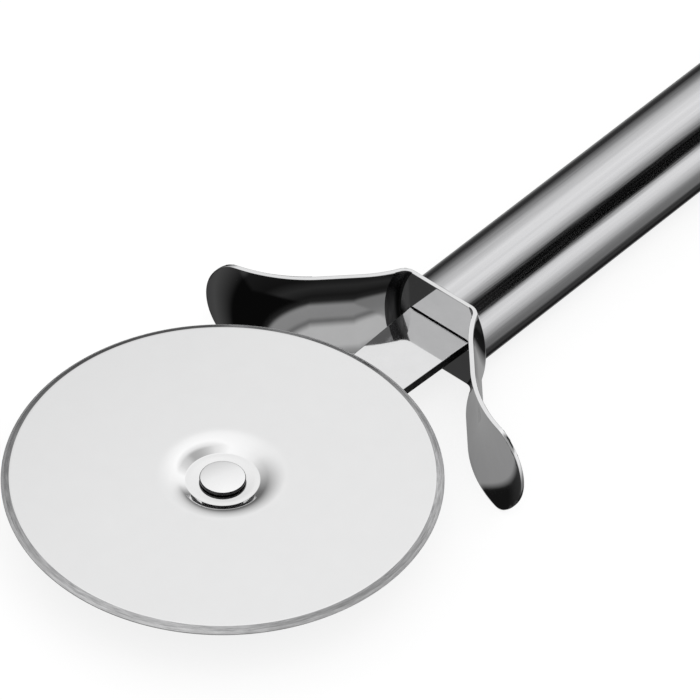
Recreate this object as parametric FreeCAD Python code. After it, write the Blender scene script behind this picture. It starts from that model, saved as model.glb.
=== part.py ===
import FreeCAD, Part
import math
import os

# Pizza cutter wheel lying flat. The handle runs along +X, and the wheel turns about an upright axle at the
# other end. The pieces are built with the axle at X zero and the tube's axis at Z zero, and shifted once,
# when written. Lengths are in millimetres and angles in degrees. A value that ends in share is a share of the
# size that it follows.

# Fits, and how far a cutting tool runs past what it cuts
running_clearance = 0.05
axial_play = 0.1
seat_clearance = 0.05
overrun = 1.0

# Cutting wheel: a pressed disc with a dished hub, ground and then honed to an edge on both sides
wheel_diameter = 74.0
wheel_thickness = 1.4
grind_width = 0.88
hone_width = 0.47
grind_drop_share = 0.5
hone_drop_share = 0.385
dish_floor_diameter = 12.4
dish_depth = 1.4
dish_wall_angle = 27.0
dish_flare_radius = 7.2
dish_foot_radius = 0.3

# Axle rivet, with a shoulder that the wheel turns on and a tail peened over a washer
shoulder_diameter = 5.0
head_diameter = 7.8
head_height = 0.75
head_crown_share = 0.3
head_edge_share = 0.25
shank_diameter = 4.0
tail_diameter = 6.4
tail_height = 1.1
burr_diameter = 8.0
burr_thickness = 0.6

# Thrust washer between the wheel and the arm
washer_diameter = 10.0
washer_thickness = 1.44

# Arm: a flat bar that widens from the axle to the guard and ends in a narrower tang
arm_thickness = 1.8
arm_axle_width = 9.2
arm_web_width = 13.2
tang_width = 10.0
tang_length = 12.0

# Finger guard: a strip bent forward at both sides of a flat web, then flared outwards to rounded tips.
# Between their edges the wings are pressed outwards in a shallow curve, most at half height.
guard_thickness = 0.8
wheel_to_web = 18.15
web_half_flat = 6.35
corner_radius = 1.84
corner_angle = 62.4
wing_sweep_radius = 25.2
wing_sweep_angle = 15.7
wing_straight = 6.94
wing_flare_radius = 27.66
wing_flare_angle = 44.3
wing_crown = 2.3
slot_clearance = 0.35
slot_end_clearance = 0.5
tip_arc_share = 1.17
tip_corner_share = 0.44

# Handle tube, and the plug in its mouth that holds the arm's tang with a cross pin
tube_diameter = 18.0
tube_wall = 1.0
tube_length = 105.0
plug_length = 14.0
tang_pin_diameter = 3.0

# End cap with a rounded edge, and the hanging eye that is pinned in it
cap_flange_thickness = 3.0
cap_plug_length = 12.0
cap_edge_share = 0.6
eye_thickness = 1.8
eye_width = 11.0
eye_hole_diameter = 6.0
eye_neck = 1.5
eye_tang_width = 8.0
eye_tang_length = 10.0
eye_pin_diameter = 2.5

# Radii
wheel_radius = wheel_diameter / 2
plug_radius = tube_diameter / 2 - tube_wall - seat_clearance

# The guard's strip is as high as the tube is thick, so that both lie on one surface
guard_height = tube_diameter

# Heights above the tube's axis, which is the arm's middle plane too
arm_top = arm_thickness / 2
wheel_underside = arm_top + washer_thickness + axial_play
dish_floor = wheel_underside + wheel_thickness
wheel_top = dish_floor + dish_depth
head_underside = dish_floor + axial_play
burr_underside = -arm_top - burr_thickness

# Places along the handle, from the axle
web_front = wheel_radius + wheel_to_web
web_back = web_front + guard_thickness
tang_pin_place = web_back + tang_length / 2
tube_rear = web_back + tube_length
cap_rear = tube_rear + cap_flange_thickness
eye_pin_place = tube_rear - (eye_tang_length - cap_flange_thickness) / 2
eye_centre = cap_rear + eye_neck + eye_width / 2
eye_rear = eye_centre + eye_width / 2

# A wing's runs from the end of the flat web to the tip: a length, or the front face's radius and its turn
wing_runs = (
    (corner_radius, corner_angle),
    (wing_sweep_radius, -wing_sweep_angle),
    (wing_straight, 0),
    (wing_flare_radius, -wing_flare_angle),
)

# The curve of the wings needs this many levels from top to foot
wing_levels = 5

upwards = FreeCAD.Vector(0, 0, 1)
backwards = FreeCAD.Vector(1, 0, 0)
sideways = FreeCAD.Vector(0, 1, 0)


def line(start, end):
    return Part.LineSegment(start, end).toShape()


def arc(start, middle, end):
    return Part.Arc(start, middle, end).toShape()


def chain(points):
    """Straight edges from each point to the next."""
    return [line(start, end) for start, end in zip(points, points[1:])]


def heading_vector(heading):
    angle = math.radians(heading)
    return FreeCAD.Vector(math.cos(angle), math.sin(angle), 0)


def side_point(radius, height):
    """A point of a turned profile, by its distance from the axle and its height."""
    return FreeCAD.Vector(radius, 0, height)


def turned(edges, axis=upwards):
    return Part.Face(Part.Wire(edges)).revolve(FreeCAD.Vector(), axis, 360)


def upright_bar(diameter, low, high, place=0):
    return Part.makeCylinder(diameter / 2, high - low, FreeCAD.Vector(place, 0, low), upwards)


def handle_bar(radius, start, end):
    return Part.makeCylinder(radius, end - start, FreeCAD.Vector(start, 0, 0), backwards)


def ring(outer_diameter, hole_diameter, low, high):
    return upright_bar(outer_diameter, low, high).cut(upright_bar(hole_diameter, low, high))


def flat_bar(start, end, width, height):
    """A block along the handle, centred on the tube's axis."""
    corner = FreeCAD.Vector(start, -width / 2, -height / 2)
    return Part.makeBox(end - start, width, height, corner)


def crown_arc(rim_radius, rim_height, crown_height):
    """The arc of a round cap's profile, from its rim to its middle."""
    rise = crown_height - rim_height
    half_turn = math.atan2(abs(rise), rim_radius)
    radius = rim_radius / math.sin(2 * half_turn)
    middle_drop = math.copysign(radius * (1 - math.cos(half_turn)), rise)
    middle = side_point(radius * math.sin(half_turn), crown_height - middle_drop)
    return arc(side_point(rim_radius, rim_height), middle, side_point(0, crown_height))


def dish_face(floor_height, foot_radius, flare_radius, rim_radius, rim_height):
    """One face of the dish, from its floor round the foot, up the wall and over to the flat of the wheel."""
    slope = math.radians(dish_wall_angle)
    foot_centre = side_point(dish_floor_diameter / 2, floor_height + foot_radius)
    flare_centre = side_point(rim_radius, rim_height - flare_radius)

    def swing(centre, radius, angle):
        return centre + side_point(math.sin(angle), -math.cos(angle)) * radius

    foot = [swing(foot_centre, foot_radius, slope * part) for part in (0, 1 / 2, 1)]
    flare = [swing(flare_centre, -flare_radius, slope * part) for part in (1, 1 / 2, 0)]
    return [arc(*foot), line(foot[-1], flare[0]), arc(*flare)]


def cutting_wheel():
    bore_radius = shoulder_diameter / 2 + running_clearance
    slope = math.radians(dish_wall_angle)
    reach = dish_flare_radius + dish_foot_radius
    wall_drop = dish_depth - reach * (1 - math.cos(slope))
    rim_radius = dish_floor_diameter / 2 + reach * math.sin(slope) + wall_drop / math.tan(slope)
    wheel_bottom = wheel_top - wheel_thickness
    grind_drop = wheel_thickness / 2 * grind_drop_share
    edge_drop = grind_drop + wheel_thickness / 2 * hone_drop_share
    grind_radius = wheel_radius - hone_width - grind_width
    hone_radius = wheel_radius - hone_width
    edge = chain([
        side_point(rim_radius, wheel_top),
        side_point(grind_radius, wheel_top),
        side_point(hone_radius, wheel_top - grind_drop),
        side_point(wheel_radius, wheel_top - edge_drop),
        side_point(wheel_radius, wheel_bottom + edge_drop),
        side_point(hone_radius, wheel_bottom + grind_drop),
        side_point(grind_radius, wheel_bottom),
        side_point(rim_radius, wheel_bottom),
    ])
    hub = chain([
        side_point(dish_floor_diameter / 2, wheel_underside),
        side_point(bore_radius, wheel_underside),
        side_point(bore_radius, dish_floor),
        side_point(dish_floor_diameter / 2, dish_floor),
    ])
    upper = dish_face(dish_floor, dish_foot_radius, dish_flare_radius, rim_radius, wheel_top)
    lower = dish_face(
        wheel_underside,
        dish_foot_radius + wheel_thickness,
        dish_flare_radius - wheel_thickness,
        rim_radius,
        wheel_bottom,
    )
    return turned(hub + upper + edge + lower[::-1])


def axle_rivet():
    head_top = head_underside + head_height
    head_rim = head_top - head_height * head_crown_share
    head_edge = head_height * head_edge_share
    crown = crown_arc(head_diameter / 2 - head_edge, head_rim, head_top)
    side = chain([
        side_point(head_diameter / 2 - head_edge, head_rim),
        side_point(head_diameter / 2, head_rim - head_edge),
        side_point(head_diameter / 2, head_underside),
        side_point(shoulder_diameter / 2, head_underside),
        side_point(shoulder_diameter / 2, arm_top),
        side_point(shank_diameter / 2, arm_top),
        side_point(shank_diameter / 2, burr_underside),
        side_point(tail_diameter / 2, burr_underside),
    ])
    tail_low = burr_underside - tail_height
    tail = crown_arc(tail_diameter / 2, burr_underside, tail_low)
    middle = line(side_point(0, tail_low), side_point(0, head_top))
    return turned([crown] + side + [tail, middle])


def rivet_burr():
    return ring(burr_diameter, shank_diameter + 2 * seat_clearance, burr_underside, -arm_top)


def thrust_washer():
    hole = shoulder_diameter + 2 * seat_clearance
    return ring(washer_diameter, hole, arm_top, arm_top + washer_thickness)


def wheel_arm():
    """A bar with a round end about the axle, whose sides run straight from that round to the web."""
    end_radius = arm_axle_width / 2
    corner_distance = math.hypot(web_front, arm_web_width / 2)
    taper = math.acos(end_radius / corner_distance) - math.atan2(web_front, arm_web_width / 2)
    touch = FreeCAD.Vector(-end_radius * math.sin(taper), end_radius * math.cos(taper), 0)
    outline = [touch]
    outline += [FreeCAD.Vector(place, arm_web_width / 2, 0) for place in (web_front, web_back)]
    outline += [FreeCAD.Vector(point.x, -point.y, 0) for point in reversed(outline)]
    round_end = arc(outline[-1], FreeCAD.Vector(-end_radius, 0, 0), outline[0])
    blade = Part.Face(Part.Wire(chain(outline) + [round_end])).extrude(upwards * arm_thickness)
    blade.translate(upwards * -arm_top)
    tang = flat_bar(web_back, web_back + tang_length, tang_width, arm_thickness)
    arm = blade.fuse(tang).removeSplitter()
    axle_hole = upright_bar(shank_diameter + 2 * seat_clearance, -arm_top, arm_top)
    pin_hole = upright_bar(tang_pin_diameter + 2 * seat_clearance, -arm_top, arm_top, tang_pin_place)
    return arm.cut(axle_hole).cut(pin_hole)


def wing_side(offset, spread):
    """Edges, end point and end heading of a wing's front face, or of a face that far behind it."""
    point = FreeCAD.Vector(web_front + offset, web_half_flat + spread, 0)
    heading = 90
    edges = []
    for size, turn in wing_runs:
        if turn == 0:
            end = point + heading_vector(heading) * size
            edges.append(line(point, end))
        else:
            radius = size + math.copysign(offset, turn)
            to_centre = heading + math.copysign(90, turn)
            centre = point + heading_vector(to_centre) * radius
            middle = centre - heading_vector(to_centre + turn / 2) * radius
            end = centre - heading_vector(to_centre + turn) * radius
            edges.append(arc(point, middle, end))
        point = end
        heading += turn
    return edges, point, heading


def mirrored(shape):
    return shape.mirror(FreeCAD.Vector(), sideways)


def strip_level(drop):
    """The strip's closed outline at one height, by the share of its height that it lies below the top edge."""
    spread = wing_crown * (1 - (1 - 2 * drop) ** 2)
    front, front_tip, heading = wing_side(0, spread)
    back, back_tip, heading = wing_side(guard_thickness, spread)
    wing_start = sideways * (web_half_flat + spread)
    web_edges = []
    for place in (web_front, web_back):
        middle = backwards * place
        web_edges.append(line(middle - wing_start, middle + wing_start))
    tip_edge = line(front_tip, back_tip)
    outline = [web_edges[0]] + front + [tip_edge] + back[::-1] + [web_edges[1]]
    outline += [mirrored(edge) for edge in back + [tip_edge] + front[::-1]]
    level = Part.Wire(outline)
    level.translate(upwards * guard_height * (1 / 2 - drop))
    return level


def tip_waste():
    """What is trimmed off a square strip end at X zero, outside a wide end arc and two round corners."""
    half_height = guard_height / 2
    arc_radius = half_height * tip_arc_share
    corner = half_height * tip_corner_share
    corner_height = half_height - corner
    corner_place = math.sqrt((arc_radius - corner) ** 2 - corner_height ** 2) - arc_radius
    outwards = math.atan2(corner_height, corner_place + arc_radius)
    half_way = (outwards + math.radians(90)) / 2

    def corner_point(angle):
        return side_point(corner_place + corner * math.cos(angle), corner_height + corner * math.sin(angle))

    def below(point):
        return side_point(point.x, -point.z)

    top = side_point(corner_place, half_height)
    bend = corner_point(half_way)
    meeting = corner_point(outwards)
    square = side_point(-arc_radius, half_height)
    kept = Part.Wire([
        line(square, top),
        arc(top, bend, meeting),
        arc(meeting, side_point(0, 0), below(meeting)),
        arc(below(meeting), below(bend), below(top)),
        line(below(top), below(square)),
        line(below(square), square),
    ])
    keep = Part.Face(kept).extrude(sideways * arc_radius)
    block_corner = FreeCAD.Vector(-arc_radius, 0, -half_height - overrun)
    block_length = arc_radius + wing_crown + overrun
    block = Part.makeBox(block_length, arc_radius, guard_height + 2 * overrun, block_corner)
    waste = block.cut(keep)
    waste.translate(FreeCAD.Vector(0, -arc_radius / 2, 0))
    return waste


def arm_slot():
    """The punched slot that the arm passes through, with round ends that run into the corner bends."""
    slot_height = arm_thickness + 2 * slot_clearance
    slot_width = arm_web_width + 2 * slot_end_clearance
    front = web_front - corner_radius - overrun
    back = web_back + overrun
    straight = slot_width - slot_height
    slot = flat_bar(front, back, straight, slot_height)
    for side in (-1, 1):
        end = handle_bar(slot_height / 2, front, back)
        end.translate(FreeCAD.Vector(0, side * straight / 2, 0))
        slot = slot.fuse(end)
    return slot


def finger_guard():
    levels = [strip_level(count / (wing_levels - 1)) for count in range(wing_levels)]
    strip = Part.makeLoft(levels, True, False)
    edges, tip, heading = wing_side(0, 0)
    waste = tip_waste()
    waste.rotate(FreeCAD.Vector(), upwards, heading)
    waste.translate(tip)
    return strip.cut(waste).cut(mirrored(waste)).cut(arm_slot())


def handle_tube():
    bore = handle_bar(tube_diameter / 2 - tube_wall, web_back, tube_rear)
    return handle_bar(tube_diameter / 2, web_back, tube_rear).cut(bore)


def cross_pin(diameter, place):
    """A pin through a plug and the tang in it, with its ends level with the plug's round."""
    half_length = math.sqrt(plug_radius ** 2 - (diameter / 2) ** 2)
    return upright_bar(diameter, -half_length, half_length, place)


def cross_hole(diameter, place):
    return upright_bar(diameter + 2 * seat_clearance, -plug_radius, plug_radius, place)


def front_plug():
    plug = handle_bar(plug_radius, web_back, web_back + plug_length)
    tang_slot = flat_bar(
        web_back,
        web_back + plug_length,
        tang_width + 2 * seat_clearance,
        arm_thickness + 2 * seat_clearance,
    )
    return plug.cut(tang_slot).cut(cross_hole(tang_pin_diameter, tang_pin_place))


def end_cap():
    plug_front = tube_rear - cap_plug_length
    edge = cap_flange_thickness * cap_edge_share
    rim = tube_diameter / 2
    bend = edge * math.sqrt(1 / 2)
    rounded = arc(
        FreeCAD.Vector(cap_rear - edge, 0, rim),
        FreeCAD.Vector(cap_rear - edge + bend, 0, rim - edge + bend),
        FreeCAD.Vector(cap_rear, 0, rim - edge),
    )
    outside = chain([
        FreeCAD.Vector(plug_front, 0, 0),
        FreeCAD.Vector(plug_front, 0, plug_radius),
        FreeCAD.Vector(tube_rear, 0, plug_radius),
        FreeCAD.Vector(tube_rear, 0, rim),
        FreeCAD.Vector(cap_rear - edge, 0, rim),
    ])
    face = chain([
        FreeCAD.Vector(cap_rear, 0, rim - edge),
        FreeCAD.Vector(cap_rear, 0, 0),
        FreeCAD.Vector(plug_front, 0, 0),
    ])
    cap = turned(outside + [rounded] + face, backwards)
    pocket = flat_bar(
        cap_rear - eye_tang_length - seat_clearance,
        cap_rear + overrun,
        eye_tang_width + 2 * seat_clearance,
        eye_thickness + 2 * seat_clearance,
    )
    return cap.cut(pocket).cut(cross_hole(eye_pin_diameter, eye_pin_place))


def hang_eye():
    eye_top = eye_thickness / 2
    tang = flat_bar(cap_rear - eye_tang_length, cap_rear, eye_tang_width, eye_thickness)
    neck = flat_bar(cap_rear, eye_centre, eye_width, eye_thickness)
    round_end = upright_bar(eye_width, -eye_top, eye_top, eye_centre)
    eye = tang.fuse(neck).fuse(round_end).removeSplitter()
    hole = upright_bar(eye_hole_diameter, -eye_top, eye_top, eye_centre)
    pin_hole = upright_bar(eye_pin_diameter + 2 * seat_clearance, -eye_top, eye_top, eye_pin_place)
    return eye.cut(hole).cut(pin_hole)


nodes = {
    "cutting_wheel": cutting_wheel(),
    "axle_rivet": axle_rivet(),
    "rivet_burr": rivet_burr(),
    "thrust_washer": thrust_washer(),
    "wheel_arm": wheel_arm(),
    "finger_guard": finger_guard(),
    "handle_tube": handle_tube(),
    "front_plug": front_plug(),
    "tang_pin": cross_pin(tang_pin_diameter, tang_pin_place),
    "end_cap": end_cap(),
    "hang_eye": hang_eye(),
    "eye_pin": cross_pin(eye_pin_diameter, eye_pin_place),
}

# The origin is under the middle of the whole length, on the surface that the tube and the guard lie on
to_origin = FreeCAD.Vector((wheel_radius - eye_rear) / 2, 0, tube_diameter / 2)

os.makedirs("parts", exist_ok=True)
for name, shape in nodes.items():
    shape.translated(to_origin).exportStep(f"parts/{name}.step")
    print(name, len(shape.Solids), "solid", round(shape.Volume, 1), "mm3", shape.isValid())
print("axle", to_origin.x, "wheel top", to_origin.z + wheel_top, "eye hole", to_origin.x + eye_centre)
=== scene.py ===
import math

import bmesh
import bpy
from mathutils import Matrix, Vector


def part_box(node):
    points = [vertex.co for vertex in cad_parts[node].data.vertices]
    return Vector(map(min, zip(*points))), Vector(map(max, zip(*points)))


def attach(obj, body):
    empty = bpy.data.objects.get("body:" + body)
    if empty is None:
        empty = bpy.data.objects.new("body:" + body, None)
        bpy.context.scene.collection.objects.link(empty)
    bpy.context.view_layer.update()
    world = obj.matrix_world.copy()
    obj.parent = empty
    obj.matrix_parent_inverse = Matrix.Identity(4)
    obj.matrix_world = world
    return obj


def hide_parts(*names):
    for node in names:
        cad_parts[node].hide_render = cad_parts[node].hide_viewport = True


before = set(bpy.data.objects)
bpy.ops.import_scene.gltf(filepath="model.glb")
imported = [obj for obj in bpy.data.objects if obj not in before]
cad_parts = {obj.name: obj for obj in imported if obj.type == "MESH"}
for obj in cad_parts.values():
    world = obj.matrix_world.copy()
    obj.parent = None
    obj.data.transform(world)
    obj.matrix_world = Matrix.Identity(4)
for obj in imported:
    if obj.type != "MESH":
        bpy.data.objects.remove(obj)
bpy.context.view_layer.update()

# Handle tube: drawn stainless tube, 18 mm across, linished along its length with a fine belt.
# Its mouth is pressed over a plug and stands against the back of the guard; the rims are lightly broken.
tube_low, tube_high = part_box("handle_tube")
tube_middle = (tube_low + tube_high) / 2
tube_radius = (tube_high.z - tube_low.z) / 2
tube_wall = 0.001
tube_rim_round = 0.00025
tube_facets = 192
tube_dark = (0.60, 0.60, 0.61, 1)
tube_pale = (0.74, 0.74, 0.75, 1)
tube_smooth = 0.09
tube_rough = 0.15
tube_line_scale = (45, 4200, 4200)
tube_line_strength = 0.35
tube_line_depth = 0.00001
tube_stroke_scale = (420, 6500, 6500)
tube_stroke_depth = 0.00002
tube_break_angle = 40
turned_smooth_angle = 30
pattern_low = 0.3
pattern_high = 0.7
across_x = Vector((1, 0, 0))
upwards = Vector((0, 0, 1))


def take_piece(name):
    """Names the object that was just added."""
    piece = bpy.context.object
    piece.name = name
    piece.data.name = name
    return piece


def make_active(piece):
    bpy.ops.object.select_all(action="DESELECT")
    piece.select_set(True)
    bpy.context.view_layer.objects.active = piece


def apply_modifiers(piece):
    make_active(piece)
    for modifier in [modifier.name for modifier in piece.modifiers]:
        bpy.ops.object.modifier_apply(modifier=modifier)


def break_edges(piece, width, angle, segments=3):
    """Rounds every edge that is sharper than the angle."""
    edge = piece.modifiers.new("broken_edge", "BEVEL")
    edge.width = width
    edge.segments = segments
    edge.limit_method = "ANGLE"
    edge.angle_limit = math.radians(angle)
    edge.use_clamp_overlap = False
    apply_modifiers(piece)


def settle(piece, smooth_angle):
    """Puts the place into the mesh, and shades it smooth, led by its large faces."""
    apply_modifiers(piece)
    bpy.ops.object.transform_apply(location=True, rotation=True, scale=True)
    bpy.ops.object.shade_smooth_by_angle(angle=math.radians(smooth_angle))
    even = piece.modifiers.new("even_shading", "WEIGHTED_NORMAL")
    even.keep_sharp = True
    apply_modifiers(piece)


def place_node(tree, kind, inputs, **settings):
    """Adds a node, sets its properties, and gives each input a value or a link."""
    node = tree.nodes.new(kind)
    for setting, value in settings.items():
        setattr(node, setting, value)
    for socket, value in inputs.items():
        if isinstance(value, bpy.types.NodeSocket):
            tree.links.new(value, node.inputs[socket])
        else:
            node.inputs[socket].default_value = value
    return node


def new_group(name, inputs, outputs):
    """Starts a shader node group; gives its tree, its input node and its output node."""
    group = bpy.data.node_groups.new(name, "ShaderNodeTree")
    for socket, kind in inputs.items():
        group.interface.new_socket(socket, in_out="INPUT", socket_type=kind)
    for socket, kind in outputs.items():
        group.interface.new_socket(socket, in_out="OUTPUT", socket_type=kind)
    return group, group.nodes.new("NodeGroupInput"), group.nodes.new("NodeGroupOutput")


def new_steel(name):
    """Starts a bare steel; gives the material, its tree, its shader and the place on the piece."""
    material = bpy.data.materials.new(name)
    material.use_nodes = True
    tree = material.node_tree
    shader = tree.nodes["Principled BSDF"]
    shader.inputs["Metallic"].default_value = 1.0
    place = tree.nodes.new("ShaderNodeTexCoord").outputs["Object"]
    return material, tree, shader, place


def mapped(tree, place, scale, centre=(0, 0, 0)):
    """The place counted from a centre, and scaled along each axis."""
    moved = place_node(tree, "ShaderNodeVectorMath", {0: place, 1: centre}, operation="SUBTRACT")
    scaled = place_node(tree, "ShaderNodeVectorMath", {0: moved.outputs[0], 1: scale}, operation="MULTIPLY")
    return scaled.outputs[0]


def spread(tree, value, low, high):
    """Maps a pattern's usual range to the values from low to high."""
    inputs = {
        "Value": value,
        "From Min": pattern_low,
        "From Max": pattern_high,
        "To Min": low,
        "To Max": high,
    }
    return place_node(tree, "ShaderNodeMapRange", inputs).outputs["Result"]


def mixed(tree, share, first, second):
    """A colour between two others, by a share."""
    inputs = {0: share, 6: first, 7: second}
    return place_node(tree, "ShaderNodeMix", inputs, data_type="RGBA").outputs[2]


def tinted(tree, value, dark, light):
    """A colour between dark and light, by a pattern."""
    return mixed(tree, spread(tree, value, 0, 1), dark, light)


def raised(tree, height, strength, depth, normal=None):
    """The normal of a raised pattern, on top of another normal where one is given."""
    inputs = {"Height": height, "Strength": strength, "Distance": depth}
    if normal is not None:
        inputs["Normal"] = normal
    return place_node(tree, "ShaderNodeBump", inputs).outputs["Normal"]


def feed(tree, shader, looks):
    """Links patterns to the shader's sockets."""
    for socket, value in looks.items():
        tree.links.new(value, shader.inputs[socket])


float_socket = "NodeSocketFloat"
vector_socket = "NodeSocketVector"
brush_lines, group_in, group_out = new_group(
    "brush_lines", {"Place": vector_socket}, {"Lines": float_socket, "Bands": float_socket}
)
fine = {"Vector": group_in.outputs["Place"], "Scale": 1.0, "Detail": 3.0, "Roughness": 0.6}
broad = {"Vector": group_in.outputs["Place"], "Scale": 0.16, "Detail": 2.0, "Roughness": 0.5}
fine_noise = place_node(brush_lines, "ShaderNodeTexNoise", fine)
broad_noise = place_node(brush_lines, "ShaderNodeTexNoise", broad)
brush_lines.links.new(fine_noise.outputs[0], group_out.inputs["Lines"])
brush_lines.links.new(broad_noise.outputs[0], group_out.inputs["Bands"])


def brushed(tree, place, scale):
    """Brush lines, as fine along each axis as the scale says."""
    return place_node(tree, "ShaderNodeGroup", {"Place": mapped(tree, place, scale)}, node_tree=brush_lines)


bpy.ops.object.select_all(action="DESELECT")
bpy.ops.mesh.primitive_cylinder_add(
    vertices=tube_facets,
    radius=tube_radius,
    depth=tube_high.x - tube_low.x,
    end_fill_type="NOTHING",
    location=tube_middle,
    rotation=across_x.to_track_quat("Z", "Y").to_euler(),
)
handle = take_piece("brushed_handle")
wall = handle.modifiers.new("wall", "SOLIDIFY")
wall.thickness = tube_wall
wall.use_even_offset = True
apply_modifiers(handle)
break_edges(handle, tube_rim_round, tube_break_angle)
settle(handle, turned_smooth_angle)

brushed_tube, tree, shader, place = new_steel("brushed_tube")
strokes = brushed(tree, place, tube_stroke_scale)
stroked = raised(tree, strokes.outputs["Bands"], 1.0, tube_stroke_depth)
lines = brushed(tree, place, tube_line_scale)
feed(tree, shader, {
    "Base Color": tinted(tree, lines.outputs["Bands"], tube_dark, tube_pale),
    "Roughness": spread(tree, lines.outputs["Lines"], tube_smooth, tube_rough),
    "Normal": raised(tree, lines.outputs["Lines"], tube_line_strength, tube_line_depth, stroked),
})
handle.data.materials.append(brushed_tube)
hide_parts("handle_tube")
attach(handle, "handle")

# Front plug and cross pins: a turned steel plug in the tube's mouth, slotted for the arm's tang, and the
# steel pins that hold the tang and the hanging eye. Only the plug's face shows, beside the guard's bends.
plug_dark = (0.42, 0.42, 0.43, 1)
plug_light = (0.55, 0.55, 0.56, 1)
plug_smooth = 0.3
plug_rough = 0.45
plug_line_scale = (2600, 900, 900)


def maths(tree, operation, *values):
    """One step of arithmetic."""
    return place_node(tree, "ShaderNodeMath", dict(enumerate(values)), operation=operation).outputs[0]


turned_place, group_in, group_out = new_group(
    "turned_place",
    {"Place": vector_socket, "Around": float_socket, "Across": float_socket},
    {"Place": vector_socket},
)
parts = place_node(turned_place, "ShaderNodeSeparateXYZ", {0: group_in.outputs["Place"]})
flat = place_node(turned_place, "ShaderNodeCombineXYZ", {0: parts.outputs[0], 1: parts.outputs[1]})
radius = place_node(turned_place, "ShaderNodeVectorMath", {0: flat.outputs[0]}, operation="LENGTH")
bearing = place_node(turned_place, "ShaderNodeVectorMath", {0: flat.outputs[0]}, operation="NORMALIZE")
around = {0: bearing.outputs[0], "Scale": group_in.outputs["Around"]}
around = place_node(turned_place, "ShaderNodeVectorMath", around, operation="SCALE")
reach = maths(turned_place, "ADD", radius.outputs["Value"], parts.outputs[2])
across = maths(turned_place, "MULTIPLY", reach, group_in.outputs["Across"])
across = place_node(turned_place, "ShaderNodeCombineXYZ", {2: across})
joined = {0: around.outputs[0], 1: across.outputs[0]}
joined = place_node(turned_place, "ShaderNodeVectorMath", joined, operation="ADD")
turned_place.links.new(joined.outputs[0], group_out.inputs["Place"])


def turned_lines(tree, place, centre, around, across):
    """Tool lines that run round an upright axis through the centre."""
    inputs = {"Place": mapped(tree, place, (1, 1, 1), centre), "Around": around, "Across": across}
    ringed = place_node(tree, "ShaderNodeGroup", inputs, node_tree=turned_place)
    return place_node(tree, "ShaderNodeGroup", {"Place": ringed.outputs["Place"]}, node_tree=brush_lines)


turned_plug, tree, shader, place = new_steel("turned_plug")
lines = brushed(tree, place, plug_line_scale)
feed(tree, shader, {
    "Base Color": tinted(tree, lines.outputs["Lines"], plug_dark, plug_light),
    "Roughness": spread(tree, lines.outputs["Bands"], plug_smooth, plug_rough),
})
for name in ("front_plug", "tang_pin", "eye_pin"):
    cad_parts[name].data.materials.clear()
    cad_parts[name].data.materials.append(turned_plug)

# Finger guard: one strip of polished stainless, 0.8 mm thick and as high as the tube, with rounded ends.
# It is slotted for the arm, bent forward at both sides of its flat web, and flared out to the tips.
# Between their edges the wings are pressed outwards in a shallow curve.
guard_low, guard_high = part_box("finger_guard")
arm_low, arm_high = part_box("wheel_arm")
guard_height = guard_high.z - guard_low.z
guard_middle_z = (guard_low.z + guard_high.z) / 2
guard_thickness = 0.0008
web_back = tube_low.x
web_front = web_back - guard_thickness
web_half_flat = 0.00635
# A wing's runs from the web outwards: radius, or length where straight; turn in degrees; steps
wing_runs = (
    (0.00184, 62.4, 16),
    (0.0252, -15.7, 10),
    (0.00694, 0, 1),
    (0.02766, -44.3, 36),
)
wing_crown = 0.0023
wing_rows = 25
trim_allowance = 0.0005
tip_arc_share = 1.17
tip_corner_share = 0.44
tip_arc_radius = guard_height / 2 * tip_arc_share
tip_corner_radius = guard_height / 2 * tip_corner_share
tip_steps = 12
slot_height = 0.0025
slot_width = 0.0142
slot_round_share = 0.499
slot_steps = 10
slot_punch_length = 8 * guard_thickness
guard_edge_round = 0.00014
plate_break_angle = 50
plate_smooth_angle = 35
weld_distance = 0.000001
mirror_weld_distance = 0.00001
mirror_dark = (0.815, 0.815, 0.82, 1)
mirror_light = (0.85, 0.85, 0.855, 1)
guard_roughness = 0.05
guard_ripple = 0.00004
polish_low_share = 0.6
polish_high_share = 1.4
# near-black colour inside the bends: painted shade
bend_shade_dark = (0.05, 0.05, 0.051, 1)
bend_shade_light = (0.11, 0.11, 0.112, 1)
bend_smooth = 0.22
bend_rough = 0.32
bend_overlap = 0.0005
bend_line_scale = (900, 900, 150)


def start_point(name, point):
    """A piece that begins as one point, in edit mode, to draw an outline from."""
    bpy.ops.object.select_all(action="DESELECT")
    bpy.ops.mesh.primitive_plane_add(size=guard_thickness, location=point)
    piece = take_piece(name)
    bpy.ops.object.transform_apply(location=True, rotation=True, scale=True)
    bpy.ops.object.mode_set(mode="EDIT")
    bpy.ops.mesh.select_mode(type="VERT")
    bpy.ops.mesh.select_all(action="SELECT")
    bpy.ops.mesh.merge(type="CENTER")
    return piece


def draw_line(move):
    bpy.ops.mesh.extrude_region_move(TRANSFORM_OT_translate={"value": move})


def draw_arc(centre, axis, angle, steps):
    """An arc that turns right-handed about the axis; the spin tool turns the other way."""
    bpy.ops.mesh.spin(steps=steps, angle=-angle, center=centre, axis=axis)


def fill_outline():
    """Closes the outline and fills it with one face."""
    bpy.ops.mesh.select_all(action="SELECT")
    bpy.ops.mesh.remove_doubles(threshold=weld_distance)
    bpy.ops.mesh.edge_face_add()


def cut_away(piece, cutter, operation="DIFFERENCE"):
    """Cuts one piece out of another, or keeps what they share, and removes the cutter."""
    cut = piece.modifiers.new("cut", "BOOLEAN")
    cut.operation = operation
    cut.solver = "EXACT"
    cut.object = cutter
    apply_modifiers(piece)
    bpy.data.objects.remove(cutter)


def run_length(size, turn):
    return size * abs(math.radians(turn)) if turn else size


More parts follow.
